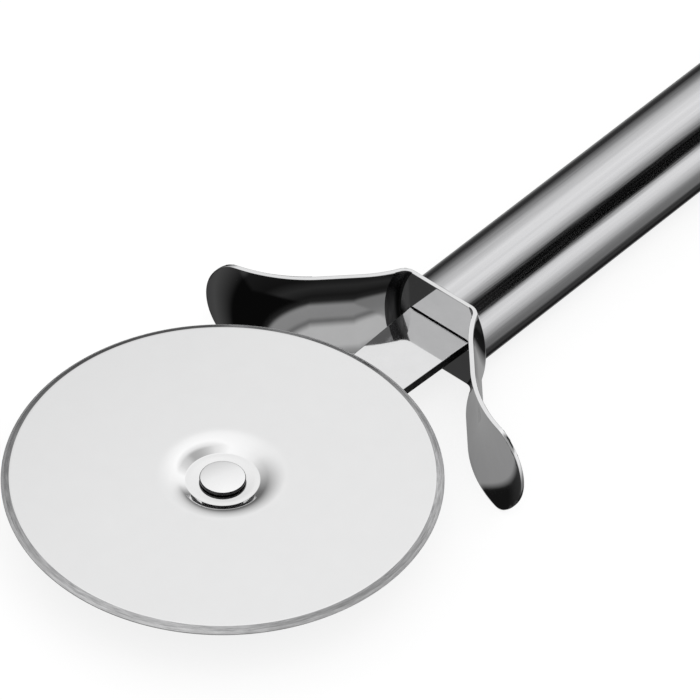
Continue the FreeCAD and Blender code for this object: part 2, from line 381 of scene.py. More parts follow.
strip_length = web_half_flat + sum(run_length(size, turn) for size, turn, steps in wing_runs)
blank_low = guard_low.z - trim_allowance
blank_height = guard_height + 2 * trim_allowance
bpy.ops.object.select_all(action="DESELECT")
bpy.ops.mesh.primitive_plane_add(
    size=1,
    location=(web_front, strip_length / 2, guard_middle_z),
    rotation=across_x.to_track_quat("Z", "Y").to_euler(),
)
guard = take_piece("polished_guard")
guard.scale = (strip_length, blank_height, 1)
bpy.ops.object.transform_apply(location=True, rotation=True, scale=True)

# The blank is creased along many upright lines and bent a little at each
creases = []
along = web_half_flat
for size, turn, steps in wing_runs:
    step = run_length(size, turn) / steps
    for count in range(steps if turn else 0):
        creases.append((along + (count + 0.5) * step, math.radians(turn / steps)))
    along += step * steps
rows = [blank_low + blank_height * count / wing_rows for count in range(wing_rows + 1)]
bpy.ops.object.mode_set(mode="EDIT")
for crease, turn in creases:
    bpy.ops.mesh.select_all(action="SELECT")
    bpy.ops.mesh.bisect(plane_co=(0, crease, 0), plane_no=(0, 1, 0))
for row in rows[1:-1]:
    bpy.ops.mesh.select_all(action="SELECT")
    bpy.ops.mesh.bisect(plane_co=(0, 0, row), plane_no=(0, 0, 1))
bpy.ops.object.mode_set(mode="OBJECT")
blank_places = [vertex.co.copy() for vertex in guard.data.vertices]
bpy.ops.object.mode_set(mode="EDIT")
bpy.ops.mesh.select_mode(type="VERT")


def pick_points(piece, wanted):
    """Selects the points whose place on the flat blank is wanted."""
    mesh = bmesh.from_edit_mesh(piece.data)
    for vertex in mesh.verts:
        vertex.select = wanted(blank_places[vertex.index])
    mesh.select_flush_mode()
    bmesh.update_edit_mesh(piece.data)


tip_point = Vector((web_front, 0, guard_middle_z))
heading = math.radians(90)
reached = 0
for crease, turn in creases:
    tip_point += Vector((math.cos(heading), math.sin(heading), 0)) * (crease - reached)
    reached = crease
    heading += turn
    pick_points(guard, lambda place: place.y > crease + weld_distance)
    bpy.ops.transform.rotate(value=-turn, orient_axis="Z", center_override=tip_point)
tip_point += Vector((math.cos(heading), math.sin(heading), 0)) * (strip_length - reached)

# Each row of the wing moves outwards by its own share of the press
for row in rows:
    drop = (guard_high.z - row) / guard_height
    row_spread = wing_crown * (1 - (1 - 2 * drop) ** 2)
    pick_points(guard, lambda place: place.y > weld_distance and abs(place.z - row) < weld_distance)
    bpy.ops.transform.translate(value=(0, row_spread, 0))
bpy.ops.object.mode_set(mode="OBJECT")
halves = guard.modifiers.new("both_wings", "MIRROR")
halves.use_axis = (False, True, False)
halves.merge_threshold = mirror_weld_distance
apply_modifiers(guard)
bpy.ops.object.mode_set(mode="EDIT")
bpy.ops.mesh.select_all(action="SELECT")
bpy.ops.mesh.remove_doubles(threshold=weld_distance)
bpy.ops.mesh.normals_make_consistent(inside=False)
bpy.ops.object.mode_set(mode="OBJECT")
web_face = min(guard.data.polygons, key=lambda face: abs(face.center.y))
if web_face.normal.x > 0:
    bpy.ops.object.mode_set(mode="EDIT")
    bpy.ops.mesh.flip_normals()
    bpy.ops.object.mode_set(mode="OBJECT")
strip = guard.modifiers.new("strip", "SOLIDIFY")
strip.thickness = guard_thickness
strip.use_even_offset = True
apply_modifiers(guard)

# The strip is trimmed to its height and its round ends by one die, and the arm's slot is punched
corner_height = guard_height / 2 - tip_corner_radius
corner_reach = math.sqrt((tip_arc_radius - tip_corner_radius) ** 2 - corner_height ** 2)
arc_centre = tip_point.y - tip_arc_radius
corner_place = arc_centre + corner_reach
tip_turn = math.atan2(corner_height, corner_reach)
corner_turn = math.radians(90) - tip_turn
trim_die = start_point("trim_die", (web_front, -corner_place, guard_high.z))
for side in (1, -1):
    draw_line((0, 2 * side * corner_place, 0))
    first_corner = (web_front, side * corner_place, guard_middle_z + side * corner_height)
    last_corner = (web_front, side * corner_place, guard_middle_z - side * corner_height)
    draw_arc(first_corner, across_x, -corner_turn, tip_steps)
    draw_arc((web_front, side * arc_centre, guard_middle_z), across_x, -2 * tip_turn, 2 * tip_steps)
    draw_arc(last_corner, across_x, -corner_turn, tip_steps)
fill_outline()
bpy.ops.object.mode_set(mode="OBJECT")
depth = trim_die.modifiers.new("depth", "SOLIDIFY")
depth.thickness = 2 * strip_length
depth.offset = 0
apply_modifiers(trim_die)
cut_away(guard, trim_die, "INTERSECT")
bpy.ops.object.select_all(action="DESELECT")
bpy.ops.mesh.primitive_cube_add(size=1, location=(web_front, 0, guard_middle_z))
slot_punch = take_piece("slot_punch")
slot_punch.scale = (slot_punch_length, slot_width, slot_height)
bpy.ops.object.transform_apply(location=True, rotation=True, scale=True)
bpy.ops.object.mode_set(mode="EDIT")
bpy.ops.mesh.select_mode(type="EDGE")
bpy.ops.mesh.select_all(action="DESELECT")
mesh = bmesh.from_edit_mesh(slot_punch.data)
for edge in mesh.edges:
    edge.select_set(abs((edge.verts[0].co - edge.verts[1].co).x) > guard_thickness)
bmesh.update_edit_mesh(slot_punch.data)
bpy.ops.mesh.bevel(offset=slot_height * slot_round_share, segments=slot_steps, affect="EDGES")
bpy.ops.object.mode_set(mode="OBJECT")
cut_away(guard, slot_punch)
break_edges(guard, guard_edge_round, plate_break_angle)
settle(guard, plate_smooth_angle)

polish_haze, group_in, group_out = new_group(
    "polish_haze", {"Place": vector_socket}, {"Haze": float_socket, "Ripple": float_socket}
)
haze = {"Vector": group_in.outputs["Place"], "Scale": 260.0, "Detail": 5.0, "Roughness": 0.65}
haze_noise = place_node(polish_haze, "ShaderNodeTexNoise", haze)
ripple = {"Vector": group_in.outputs["Place"], "Scale": 45.0, "Detail": 1.0, "Roughness": 0.4}
ripple_noise = place_node(polish_haze, "ShaderNodeTexNoise", ripple)
polish_haze.links.new(haze_noise.outputs[0], group_out.inputs["Haze"])
polish_haze.links.new(ripple_noise.outputs[0], group_out.inputs["Ripple"])


def mirror_steel(name, dark, light, roughness, ripple_depth):
    """Polished steel with a faint haze of handling, and the slight waves of sheet metal."""
    material, tree, shader, place = new_steel(name)
    polish = place_node(tree, "ShaderNodeGroup", {"Place": place}, node_tree=polish_haze)
    haze = polish.outputs["Haze"]
    feed(tree, shader, {
        "Base Color": tinted(tree, haze, dark, light),
        "Roughness": spread(tree, haze, roughness * polish_low_share, roughness * polish_high_share),
        "Normal": raised(tree, polish.outputs["Ripple"], 1.0, ripple_depth),
    })
    return material


polished_guard = mirror_steel("polished_guard", mirror_dark, mirror_light, guard_roughness, guard_ripple)
guard.data.materials.append(polished_guard)

# Inside the two bends the steel is rougher, and its colour is near-black: painted shade in the creases
painted_bend_shade, tree, shader, place = new_steel("painted_bend_shade")
lines = brushed(tree, place, bend_line_scale)
feed(tree, shader, {
    "Base Color": tinted(tree, lines.outputs["Lines"], bend_shade_dark, bend_shade_light),
    "Roughness": spread(tree, lines.outputs["Bands"], bend_smooth, bend_rough),
})
guard.data.materials.append(painted_bend_shade)
bend_radius, bend_turn = wing_runs[0][:2]
bend_reach = bend_radius * math.sin(math.radians(bend_turn)) + bend_overlap
# the faces on the inner side of each bend take the painted shade
for face in guard.data.polygons:
    lift = (face.center.z - guard_middle_z) / (guard_height / 2)
    along = abs(face.center.y) - wing_crown * (1 - lift ** 2) - web_half_flat
    inside = face.normal.x < 0 and face.center.y * face.normal.y < 0
    face.material_index = int(inside and 0 < along < bend_reach)
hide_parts("finger_guard")
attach(guard, "handle")

# Wheel arm: a flat bar of polished stainless, 1.8 mm thick, round at the axle and wider at the guard.
# It goes through the guard's slot, and its narrower tang is pinned in the plug.
arm_thickness = arm_high.z - arm_low.z
blade_low, blade_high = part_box("cutting_wheel")
axle_x = (blade_low.x + blade_high.x) / 2
arm_end_radius = axle_x - arm_low.x
arm_web_half = (arm_high.y - arm_low.y) / 2
tang_half = 0.005
axle_hole_radius = 0.00205
tang_pin_hole_radius = 0.00155
arm_edge_round = 0.00015
arm_round_steps = 48
# near-black colour for the sides of the arm and the rivet: painted shade
side_shade_dark = (0.03, 0.03, 0.032, 1)
side_shade_light = (0.09, 0.09, 0.092, 1)
edge_smooth = 0.3
edge_rough = 0.45
edge_line_scale = (2200, 2200, 260)
edge_face_tilt = 0.3
arm_roughness = 0.05
arm_ripple = 0.00002
hole_facets = 64
drill_depth_share = 3

arm_taper_x = web_front - axle_x
arm_taper = math.acos(arm_end_radius / math.hypot(arm_taper_x, arm_web_half))
arm_taper -= math.atan2(arm_taper_x, arm_web_half)
touch_x = axle_x - arm_end_radius * math.sin(arm_taper)
touch_y = arm_end_radius * math.cos(arm_taper)
arm = start_point("polished_arm", (touch_x, -touch_y, arm_high.z))
draw_line((web_front - touch_x, touch_y - arm_web_half, 0))
draw_line((web_back - web_front, 0, 0))
draw_line((0, arm_web_half - tang_half, 0))
draw_line((arm_high.x - web_back, 0, 0))
draw_line((0, 2 * tang_half, 0))
draw_line((web_back - arm_high.x, 0, 0))
draw_line((0, arm_web_half - tang_half, 0))
draw_line((web_front - web_back, 0, 0))
draw_line((touch_x - web_front, touch_y - arm_web_half, 0))
draw_arc((axle_x, 0, arm_high.z), upwards, 2 * (math.radians(90) - arm_taper), arm_round_steps)
fill_outline()
bpy.ops.object.mode_set(mode="OBJECT")


def thicken_down(piece, thickness):
    """Gives a flat outline its thickness, below its own plane."""
    make_active(piece)
    if piece.data.polygons[0].normal.z < 0:
        bpy.ops.object.mode_set(mode="EDIT")
        bpy.ops.mesh.select_all(action="SELECT")
        bpy.ops.mesh.flip_normals()
        bpy.ops.object.mode_set(mode="OBJECT")
    plate = piece.modifiers.new("plate", "SOLIDIFY")
    plate.thickness = thickness
    apply_modifiers(piece)


def drill(piece, centre, radius, thickness):
    """An upright hole through a plate."""
    bpy.ops.object.select_all(action="DESELECT")
    bpy.ops.mesh.primitive_cylinder_add(
        vertices=hole_facets, radius=radius, depth=drill_depth_share * thickness, location=centre
    )
    cut_away(piece, take_piece("drill"))


thicken_down(arm, arm_thickness)
arm_middle_z = (arm_low.z + arm_high.z) / 2
tang_pin_low, tang_pin_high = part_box("tang_pin")
tang_pin_x = (tang_pin_low.x + tang_pin_high.x) / 2
drill(arm, (axle_x, 0, arm_middle_z), axle_hole_radius, arm_thickness)
drill(arm, (tang_pin_x, 0, arm_middle_z), tang_pin_hole_radius, arm_thickness)
break_edges(arm, arm_edge_round, plate_break_angle)
settle(arm, plate_smooth_angle)
polished_arm = mirror_steel("polished_arm", mirror_dark, mirror_light, arm_roughness, arm_ripple)
# dull sides, coloured near-black as painted shade
painted_dark_side, tree, shader, place = new_steel("painted_dark_side")
lines = brushed(tree, place, edge_line_scale)
feed(tree, shader, {
    "Base Color": tinted(tree, lines.outputs["Lines"], side_shade_dark, side_shade_light),
    "Roughness": spread(tree, lines.outputs["Bands"], edge_smooth, edge_rough),
})


def finish_flat_piece(piece, polish, side_tilt):
    """Polished faces, and dull sides whose near-black colour is painted shade."""
    piece.data.materials.append(polish)
    piece.data.materials.append(painted_dark_side)
    for face in piece.data.polygons:
        face.material_index = int(abs(face.normal.z) < side_tilt)


finish_flat_piece(arm, polished_arm, edge_face_tilt)
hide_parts("wheel_arm")
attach(arm, "handle")

# End cap: a turned steel plug with a flange as wide as the tube and a rounded edge, brushed like the tube.
# It is pressed into the tube's rear, and a flat pocket in its face takes the hanging eye's tang.
cap_low, cap_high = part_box("end_cap")
cap_clearance = 0.00005
cap_plug_radius = tube_radius - tube_wall - cap_clearance
cap_edge_radius = 0.0018
cap_chamfer = 0.0004
cap_arc_steps = 10
cap_ring_points = 160
cap_pole_radius = 0.0004
pocket_width = 0.0081
pocket_height = 0.0019
pocket_depth = 0.01005
cap_smooth = 0.16
cap_rough = 0.26


def turn_rings(name, axis_point, axis, profile, ring_points, bored=False):
    """Turns a profile of points, radius and place along the axis: a ring, extruded from point to point."""
    radius, along = profile[0]
    bpy.ops.object.select_all(action="DESELECT")
    bpy.ops.mesh.primitive_circle_add(
        vertices=ring_points,
        radius=radius,
        location=axis_point + axis * along,
        rotation=axis.to_track_quat("Z", "Y").to_euler(),
    )
    piece = take_piece(name)
    bpy.ops.object.transform_apply(location=True, rotation=True, scale=True)
    bpy.ops.object.mode_set(mode="EDIT")
    bpy.ops.mesh.select_mode(type="VERT")
    bpy.ops.mesh.select_all(action="SELECT")
    for next_radius, next_along in profile[1:]:
        draw_line(axis * (next_along - along))
        share = next_radius / radius
        ring_centre = axis_point + axis * next_along
        bpy.ops.transform.resize(value=(share, share, share), center_override=ring_centre)
        radius, along = next_radius, next_along
    bpy.ops.mesh.select_mode(type="EDGE")
    bpy.ops.mesh.select_all(action="DESELECT")
    bpy.ops.mesh.select_non_manifold()
    if bored:
        bpy.ops.mesh.bridge_edge_loops()
    else:
        bpy.ops.mesh.select_all(action="SELECT")
        bpy.ops.mesh.fill_holes(sides=0)
    bpy.ops.mesh.select_all(action="SELECT")
    bpy.ops.mesh.normals_make_consistent(inside=False)
    bpy.ops.object.mode_set(mode="OBJECT")
    return piece


def profile_arc(centre_radius, centre_along, radius, start, end, steps):
    """Points of an arc in a turned profile; angles are in degrees from outwards, turning along the axis."""
    points = []
    for count in range(steps + 1):
        angle = math.radians(start + (end - start) * count / steps)
        points.append((centre_radius + radius * math.cos(angle), centre_along + radius * math.sin(angle)))
    return points


handle_axis_point = Vector((0, 0, guard_middle_z))
cap_profile = [
    (cap_pole_radius, cap_low.x),
    (cap_plug_radius - cap_chamfer, cap_low.x),
    (cap_plug_radius, cap_low.x + cap_chamfer),
    (cap_plug_radius, tube_high.x),
    (tube_radius, tube_high.x),
]
cap_profile += profile_arc(
    tube_radius - cap_edge_radius, cap_high.x - cap_edge_radius, cap_edge_radius, 0, 90, cap_arc_steps
)
cap_profile += [(tube_radius - 2 * cap_edge_radius, cap_high.x), (cap_pole_radius, cap_high.x)]
cap = turn_rings("brushed_end_cap", handle_axis_point, across_x, cap_profile, cap_ring_points)
bpy.ops.object.select_all(action="DESELECT")
bpy.ops.mesh.primitive_cube_add(size=1, location=(cap_high.x, 0, guard_middle_z))
pocket_tool = take_piece("pocket_tool")
pocket_tool.scale = (2 * pocket_depth, pocket_width, pocket_height)
bpy.ops.object.transform_apply(location=True, rotation=True, scale=True)
cut_away(cap, pocket_tool)
settle(cap, turned_smooth_angle)

turned_cap, tree, shader, place = new_steel("turned_cap")
lines = brushed(tree, place, tube_line_scale)
feed(tree, shader, {
    "Base Color": tinted(tree, lines.outputs["Bands"], tube_dark, tube_pale),
    "Roughness": spread(tree, lines.outputs["Lines"], cap_smooth, cap_rough),
    "Normal": raised(tree, lines.outputs["Lines"], tube_line_strength, tube_line_depth),
})
cap.data.materials.append(turned_cap)
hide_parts("end_cap")
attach(cap, "handle")

# Hanging eye: a flat polished steel loop with a round hole, stamped from the same bar as the arm.
# Its tang is pinned in the end cap's pocket.
eye_low, eye_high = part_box("hang_eye")
eye_radius = (eye_high.y - eye_low.y) / 2
eye_centre_x = eye_high.x - eye_radius
eye_thickness = eye_high.z - eye_low.z
eye_tang_half = 0.004
eye_hole_radius = 0.003
eye_pin_hole_radius = 0.0013
eye_edge_round = 0.00025
eye_round_steps = 40
eye_middle_z = (eye_low.z + eye_high.z) / 2

eye = start_point("polished_eye", (cap_high.x, -eye_tang_half, eye_high.z))
draw_line((eye_low.x - cap_high.x, 0, 0))
draw_line((0, 2 * eye_tang_half, 0))
draw_line((cap_high.x - eye_low.x, 0, 0))
draw_line((0, eye_radius - eye_tang_half, 0))
draw_line((eye_centre_x - cap_high.x, 0, 0))
draw_arc((eye_centre_x, 0, eye_high.z), upwards, math.radians(-180), eye_round_steps)
draw_line((cap_high.x - eye_centre_x, 0, 0))
fill_outline()
bpy.ops.object.mode_set(mode="OBJECT")
thicken_down(eye, eye_thickness)
eye_pin_low, eye_pin_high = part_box("eye_pin")
eye_pin_x = (eye_pin_low.x + eye_pin_high.x) / 2
drill(eye, (eye_centre_x, 0, eye_middle_z), eye_hole_radius, eye_thickness)
drill(eye, (eye_pin_x, 0, eye_middle_z), eye_pin_hole_radius, eye_thickness)
break_edges(eye, eye_edge_round, plate_break_angle)
settle(eye, plate_smooth_angle)
eye.data.materials.append(polished_arm)
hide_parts("hang_eye")
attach(eye, "handle")

# Thrust washer: a moulded plastic ring, off-white and matt, that holds the blade off the arm.
# It sits on the rivet's shoulder, with softly rounded edges.
washer_low, washer_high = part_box("thrust_washer")
washer_radius = (washer_high.x - washer_low.x) / 2
washer_bore = 0.00255
washer_round = 0.0002
washer_ring_points = 96
nylon_dark = (0.62, 0.61, 0.57, 1)
nylon_light = (0.72, 0.71, 0.67, 1)
nylon_smooth = 0.4
nylon_rough = 0.55
grain_scale = 2600.0
grain_strength = 0.4
grain_depth = 0.00002
axle_point = Vector((axle_x, 0, 0))


def flat_ring(name, inner, outer, low, high):
    """A plain washer round the axle."""
    profile = [(inner, low), (outer, low), (outer, high), (inner, high)]
    return turn_rings(name, axle_point, upwards, profile, washer_ring_points, bored=True)


washer = flat_ring("nylon_washer", washer_bore, washer_radius, washer_low.z, washer_high.z)
break_edges(washer, washer_round, plate_break_angle)
settle(washer, plate_smooth_angle)
nylon = bpy.data.materials.new("nylon")
nylon.use_nodes = True
tree = nylon.node_tree
shader = tree.nodes["Principled BSDF"]
place = tree.nodes.new("ShaderNodeTexCoord").outputs["Object"]
grain = place_node(tree, "ShaderNodeTexNoise", {"Vector": place, "Scale": grain_scale, "Detail": 4.0})
feed(tree, shader, {
    "Base Color": tinted(tree, grain.outputs[0], nylon_dark, nylon_light),
    "Roughness": spread(tree, grain.outputs[0], nylon_smooth, nylon_rough),
    "Normal": raised(tree, grain.outputs[0], grain_strength, grain_depth),
})
washer.data.materials.append(nylon)
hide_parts("thrust_washer")
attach(washer, "handle")

# Cutting wheel: a pressed disc of polished stainless, 74 mm across, with a dished hub.
# Its rim is ground and then honed on both sides, and it turns freely on the rivet's shoulder.
blade_radius = (blade_high.x - blade_low.x) / 2
blade_top = blade_high.z
blade_thickness = 0.0014
blade_bottom = blade_top - blade_thickness
blade_bore = 0.00255
dish_underside = blade_low.z
dish_floor = dish_underside + blade_thickness
dish_floor_radius = 0.0062
dish_depth = blade_top - dish_floor
dish_wall_angle = 27.0
dish_flare_radius = 0.0072
dish_foot_radius = 0.0003
rivet_sink = 0.00017
rivet_sink_radius = 0.0039
rivet_sink_reach = 0.0013
dish_steps = 16
hold_ring = 0.0004
hone_width = 0.00047
grind_width = 0.00088
hone_radius = blade_radius - hone_width
grind_radius = hone_radius - grind_width
grind_drop = 0.00035
hone_drop = 0.00027
blade_edge_round = 0.00004
blade_break_angle = 12
blade_ring_points = 256
blade_dark = (0.86, 0.86, 0.862, 1)
blade_light = (0.872, 0.872, 0.874, 1)
blade_smooth = 0.05
blade_rough = 0.09
blade_ripple = 0.00001
blade_lines_around = 2.0
blade_lines_across = 5200.0
grind_dark = (0.33, 0.33, 0.335, 1)
grind_light = (0.61, 0.61, 0.615, 1)
grind_smooth = 0.22
grind_rough = 0.36
grind_lines_around = 14.0
grind_lines_across = 9000.0
grind_line_strength = 0.5
grind_line_depth = 0.00001
hone_dark = (0.55, 0.55, 0.555, 1)
hone_light = (0.8, 0.8, 0.805, 1)
hone_smooth = 0.4
hone_rough = 0.55
hub_dark = (0.9, 0.9, 0.902, 1)
hub_light = (0.912, 0.912, 0.914, 1)
hub_bright_radius = 0.0095
hub_fade = 0.002

dish_slope = math.radians(dish_wall_angle)
dish_reach = dish_flare_radius + dish_foot_radius
dish_wall_drop = dish_depth - dish_reach * (1 - math.cos(dish_slope))
dish_wall_run = dish_wall_drop / math.tan(dish_slope)
dish_rim_radius = dish_floor_radius + dish_reach * math.sin(dish_slope) + dish_wall_run


def dish_points(floor, foot_radius, flare_radius, flat):
    """One face of the dish: its floor, foot, wall and flare, out to the blade's flat."""
    foot_end = -90 + dish_wall_angle
    flare_start = 90 + dish_wall_angle
    foot = profile_arc(dish_floor_radius, floor + foot_radius, foot_radius, -90, foot_end, dish_steps)
    flare = profile_arc(dish_rim_radius, flat - flare_radius, flare_radius, flare_start, 90, dish_steps)
    return [(dish_floor_radius - hold_ring, floor)] + foot + flare + [(dish_rim_radius + hold_ring, flat)]


edge_drop = grind_drop + hone_drop
upper_face = dish_points(dish_floor, dish_foot_radius, dish_flare_radius, blade_top)
lower_face = dish_points(
    dish_underside, dish_foot_radius + blade_thickness, dish_flare_radius - blade_thickness, blade_bottom
)
rivet_seat = [
    (blade_bore, dish_floor - rivet_sink),
    (rivet_sink_radius, dish_floor - rivet_sink),
    (rivet_sink_radius + rivet_sink_reach, dish_floor),
]
blade_profile = rivet_seat + upper_face + [
    (grind_radius - hold_ring, blade_top),
    (grind_radius, blade_top),
    (hone_radius, blade_top - grind_drop),
    (blade_radius, blade_top - edge_drop),
    (blade_radius, blade_bottom + edge_drop),
    (hone_radius, blade_bottom + grind_drop),
    (grind_radius, blade_bottom),
    (grind_radius - hold_ring, blade_bottom),
] + lower_face[::-1] + [(blade_bore, dish_underside)]
blade = turn_rings("polished_blade", axle_point, upwards, blade_profile, blade_ring_points, bored=True)
break_edges(blade, blade_edge_round, blade_break_angle, segments=2)
settle(blade, blade_break_angle)


def stepped(tree, value, start, soft):
    """Rises from 0 at the start to 1 after the soft length."""
    inputs = {"Value": value, "From Min": start, "From Max": start + soft}
    return place_node(tree, "ShaderNodeMapRange", inputs).outputs["Result"]


polished_blade, tree, shader, place = new_steel("polished_blade")
polish = place_node(tree, "ShaderNodeGroup", {"Place": place}, node_tree=polish_haze)
rings = turned_lines(tree, place, axle_point, blade_lines_around, blade_lines_across)
flat_tint = tinted(tree, polish.outputs["Haze"], blade_dark, blade_light)
hub_tint = tinted(tree, polish.outputs["Haze"], hub_dark, hub_light)
from_axle = mapped(tree, place, (1, 1, 0), axle_point)
from_axle = place_node(tree, "ShaderNodeVectorMath", {0: from_axle}, operation="LENGTH")
beyond_hub = stepped(tree, from_axle.outputs["Value"], hub_bright_radius, hub_fade)
feed(tree, shader, {
    "Base Color": mixed(tree, beyond_hub, hub_tint, flat_tint),
    "Roughness": spread(tree, rings.outputs["Lines"], blade_smooth, blade_rough),
    "Normal": raised(tree, polish.outputs["Ripple"], 1.0, blade_ripple),
})


def ringed_steel(name, dark, light, smooth, rough):
    """Bare steel with the wheel marks of grinding round the rim."""
    material, tree, shader, place = new_steel(name)
    rings = turned_lines(tree, place, axle_point, grind_lines_around, grind_lines_across)
    feed(tree, shader, {
        "Base Color": tinted(tree, rings.outputs["Lines"], dark, light),
        "Roughness": spread(tree, rings.outputs["Bands"], smooth, rough),
        "Normal": raised(tree, rings.outputs["Lines"], grind_line_strength, grind_line_depth),
    })
    return material


ground_edge = ringed_steel("ground_edge", grind_dark, grind_light, grind_smooth, grind_rough)
honed_edge = ringed_steel("honed_edge", hone_dark, hone_light, hone_smooth, hone_rough)
blade.data.materials.append(polished_blade)
blade.data.materials.append(ground_edge)
blade.data.materials.append(honed_edge)
for face in blade.data.polygons:
    out = (face.center - axle_point).xy.length
    face.material_index = int(out > grind_radius) + int(out > hone_radius)
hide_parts("cutting_wheel")
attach(blade, "wheel")

# Axle rivet and burr: a shouldered steel rivet, its low head crowned and polished in the dish.
# Its tail is peened over a small steel washer under the arm.
rivet_low, rivet_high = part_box("axle_rivet")
burr_low, burr_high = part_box("rivet_burr")
head_radius = (rivet_high.x - rivet_low.x) / 2
head_height = 0.00075
head_crown_share = 0.3
head_edge_share = 0.25
head_crown = head_height * head_crown_share
head_edge = head_height * head_edge_share
head_side_tilt = 0.93
rivet_dark = (0.925, 0.925, 0.928, 1)
rivet_light = (0.945, 0.945, 0.948, 1)
rivet_roughness = 0.06
rivet_ripple = 0.00001
head_underside = rivet_high.z - head_height
shoulder_radius = 0.0025
shank_radius = 0.002
tail_radius = 0.0032
burr_radius = (burr_high.x - burr_low.x) / 2
burr_bore = 0.00205
burr_round = 0.00012
rivet_ring_points = 128
rivet_pole_radius = 0.0001
crown_steps = 10
edge_steps = 5


def crown_points(rim_radius, rim_height, crown_height):
    """A shallow dome's profile, from near its middle out to its rim."""
    points = []
    for count in range(crown_steps + 1):
        share = max(count / crown_steps, rivet_pole_radius / rim_radius)
        points.append((rim_radius * share, crown_height + (rim_height - crown_height) * share ** 2))
    return points


head_rim = rivet_high.z - head_crown
head_round = profile_arc(head_radius - head_edge, head_rim - head_edge, head_edge, 0, 90, edge_steps)
rivet_profile = crown_points(tail_radius, burr_low.z, rivet_low.z) + [
    (shank_radius, burr_low.z),
    (shank_radius, arm_high.z),
    (shoulder_radius, arm_high.z),
    (shoulder_radius, head_underside),
    (head_radius, head_underside),
] + head_round + crown_points(head_radius - head_edge, head_rim, rivet_high.z)[-2::-1]
rivet = turn_rings("polished_rivet", axle_point, upwards, rivet_profile, rivet_ring_points)
settle(rivet, turned_smooth_angle)
polished_rivet = mirror_steel("polished_rivet", rivet_dark, rivet_light, rivet_roughness, rivet_ripple)
# the rivet's sides take the same near-black painted shade
finish_flat_piece(rivet, polished_rivet, head_side_tilt)
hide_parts("axle_rivet")
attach(rivet, "handle")

burr = flat_ring("polished_burr", burr_bore, burr_radius, burr_low.z, burr_high.z)
break_edges(burr, burr_round, plate_break_angle)
settle(burr, plate_smooth_angle)
burr.data.materials.append(polished_rivet)
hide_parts("rivet_burr")
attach(burr, "handle")

# Floor: a plain white table, which takes the soft contact shadow.
# The camera sees it lifted to white, and the shadow stays.
floor_size = 6.0
floor_white = (0.9, 0.9, 0.9, 1)
floor_seen = (0.22, 0.22, 0.22, 1)
floor_lift = 0.8
bpy.ops.object.select_all(action="DESELECT")
bpy.ops.mesh.primitive_plane_add(size=floor_size, location=(0, 0, 0))
floor = take_piece("floor")
white_table = bpy.data.materials.new("white_table")
white_table.use_nodes = True
tree = white_table.node_tree
shader = tree.nodes["Principled BSDF"]
shader.inputs["Roughness"].default_value = 1.0
shader.inputs["Specular IOR Level"].default_value = 0.0
shader.inputs["Emission Color"].default_value = (1, 1, 1, 1)
ray = tree.nodes.new("ShaderNodeLightPath")
feed(tree, shader, {
    "Base Color": mixed(tree, ray.outputs["Is Camera Ray"], floor_white, floor_seen),
    "Emission Strength": maths(tree, "MULTIPLY", ray.outputs["Is Camera Ray"], floor_lift),
})
floor.data.materials.append(white_table)
floor.visible_glossy = False

# Light tent: a round paper tunnel along the handle, closed at both ends, which shows only in the metal.
# It is bright overhead and on the camera's side, and dim underneath; a black card hangs beside the tube.
# A grade is the angle up from the back, then the light beyond the blade, all round, and beside the tube.
tent_radius = 0.6
tent_length = 5.0
tent_facets = 128
tent_grades = (
    (0, 0.3, 0.085, 0.085),
    (12, 0.35, 0.17, 0.17),
    (30, 0.45, 0.5, 0.5),
    (43, 0.55, 0.71, 0.71),
    (55, 0.62, 0.9, 0.89),
    (67, 0.68, 0.98, 0.95),
    (88, 0.68, 1.06, 1.08),
    (100, 0.6, 0.83, 0.83),
    (108, 0.55, 0.41, 0.595),
    (117, 0.5, 0.34, 0.33),
    (124, 0.48, 0.36, 0.03),
    (127, 0.46, 0.34, 0.001),
    (152, 0.4, 0.38, 0.001),
    (160, 0.2, 0.7, 0.7),
    (165, 0.13, 0.9, 0.97),
    (183, 0.12, 0.9, 0.93),
    (194, 0.5, 0.75, 0.75),
    (213, 0.5, 0.29, 0.29),
    (220, 0.14, 0.22, 0.22),
    (225, 0.26, 0.2, 0.205),
    (237, 0.27, 0.19, 0.195),
    (241, 0.02, 0.02, 0.09),
    (247, 0.003, 0.01, 0.037),
    (256, 0.003, 0.025, 0.05),
    (264, 0.003, 0.007, 0.015),
    (279, 0.003, 0.012, 0.012),
    (294, 0.065, 0.35, 0.35),
    (306, 0.04, 0.3, 0.3),
    (313, 0.008, 0.29, 0.29),
    (328, 0.008, 0.27, 0.27),
    (337, 0.03, 0.065, 0.065),
    (350, 0.2, 0.034, 0.034),
)
card_start = 0.26
card_end = 0.55
card_soft = 0.11
tent_step = -0.476
tent_step_slant = 0.614
tent_step_half = 0.02
tent_end = 1.5
tent_end_soft = 0.6
tent_end_grey = (0.45, 0.45, 0.45, 1)
bpy.ops.object.select_all(action="DESELECT")
bpy.ops.mesh.primitive_cylinder_add(
    vertices=tent_facets,
    radius=tent_radius,
    depth=tent_length,
    end_fill_type="NGON",
    rotation=across_x.to_track_quat("Z", "Y").to_euler(),
)
tent = take_piece("light_tent")
bpy.ops.object.transform_apply(location=True, rotation=True, scale=True)
paper = bpy.data.materials.new("tent_paper")
paper.use_nodes = True
tree = paper.node_tree
tree.nodes.clear()
place = tree.nodes.new("ShaderNodeTexCoord").outputs["Object"]
parts = place_node(tree, "ShaderNodeSeparateXYZ", {0: place})
angle = maths(tree, "ARCTAN2", parts.outputs[2], parts.outputs[1])
share = maths(tree, "FRACT", maths(tree, "DIVIDE", angle, 2 * math.pi))


def graded(tree, share, grades):
    """Grey light round the tunnel, by grades of angle and light."""
    ramp = place_node(tree, "ShaderNodeValToRGB", {0: share})
    stops = ramp.color_ramp.elements
    while len(stops) < len(grades):
        stops.new(0.5)
    for stop, (degrees, light) in zip(stops, grades):
        stop.position = degrees / 360
        stop.color = (light, light, light, 1)
    return ramp.outputs[0]


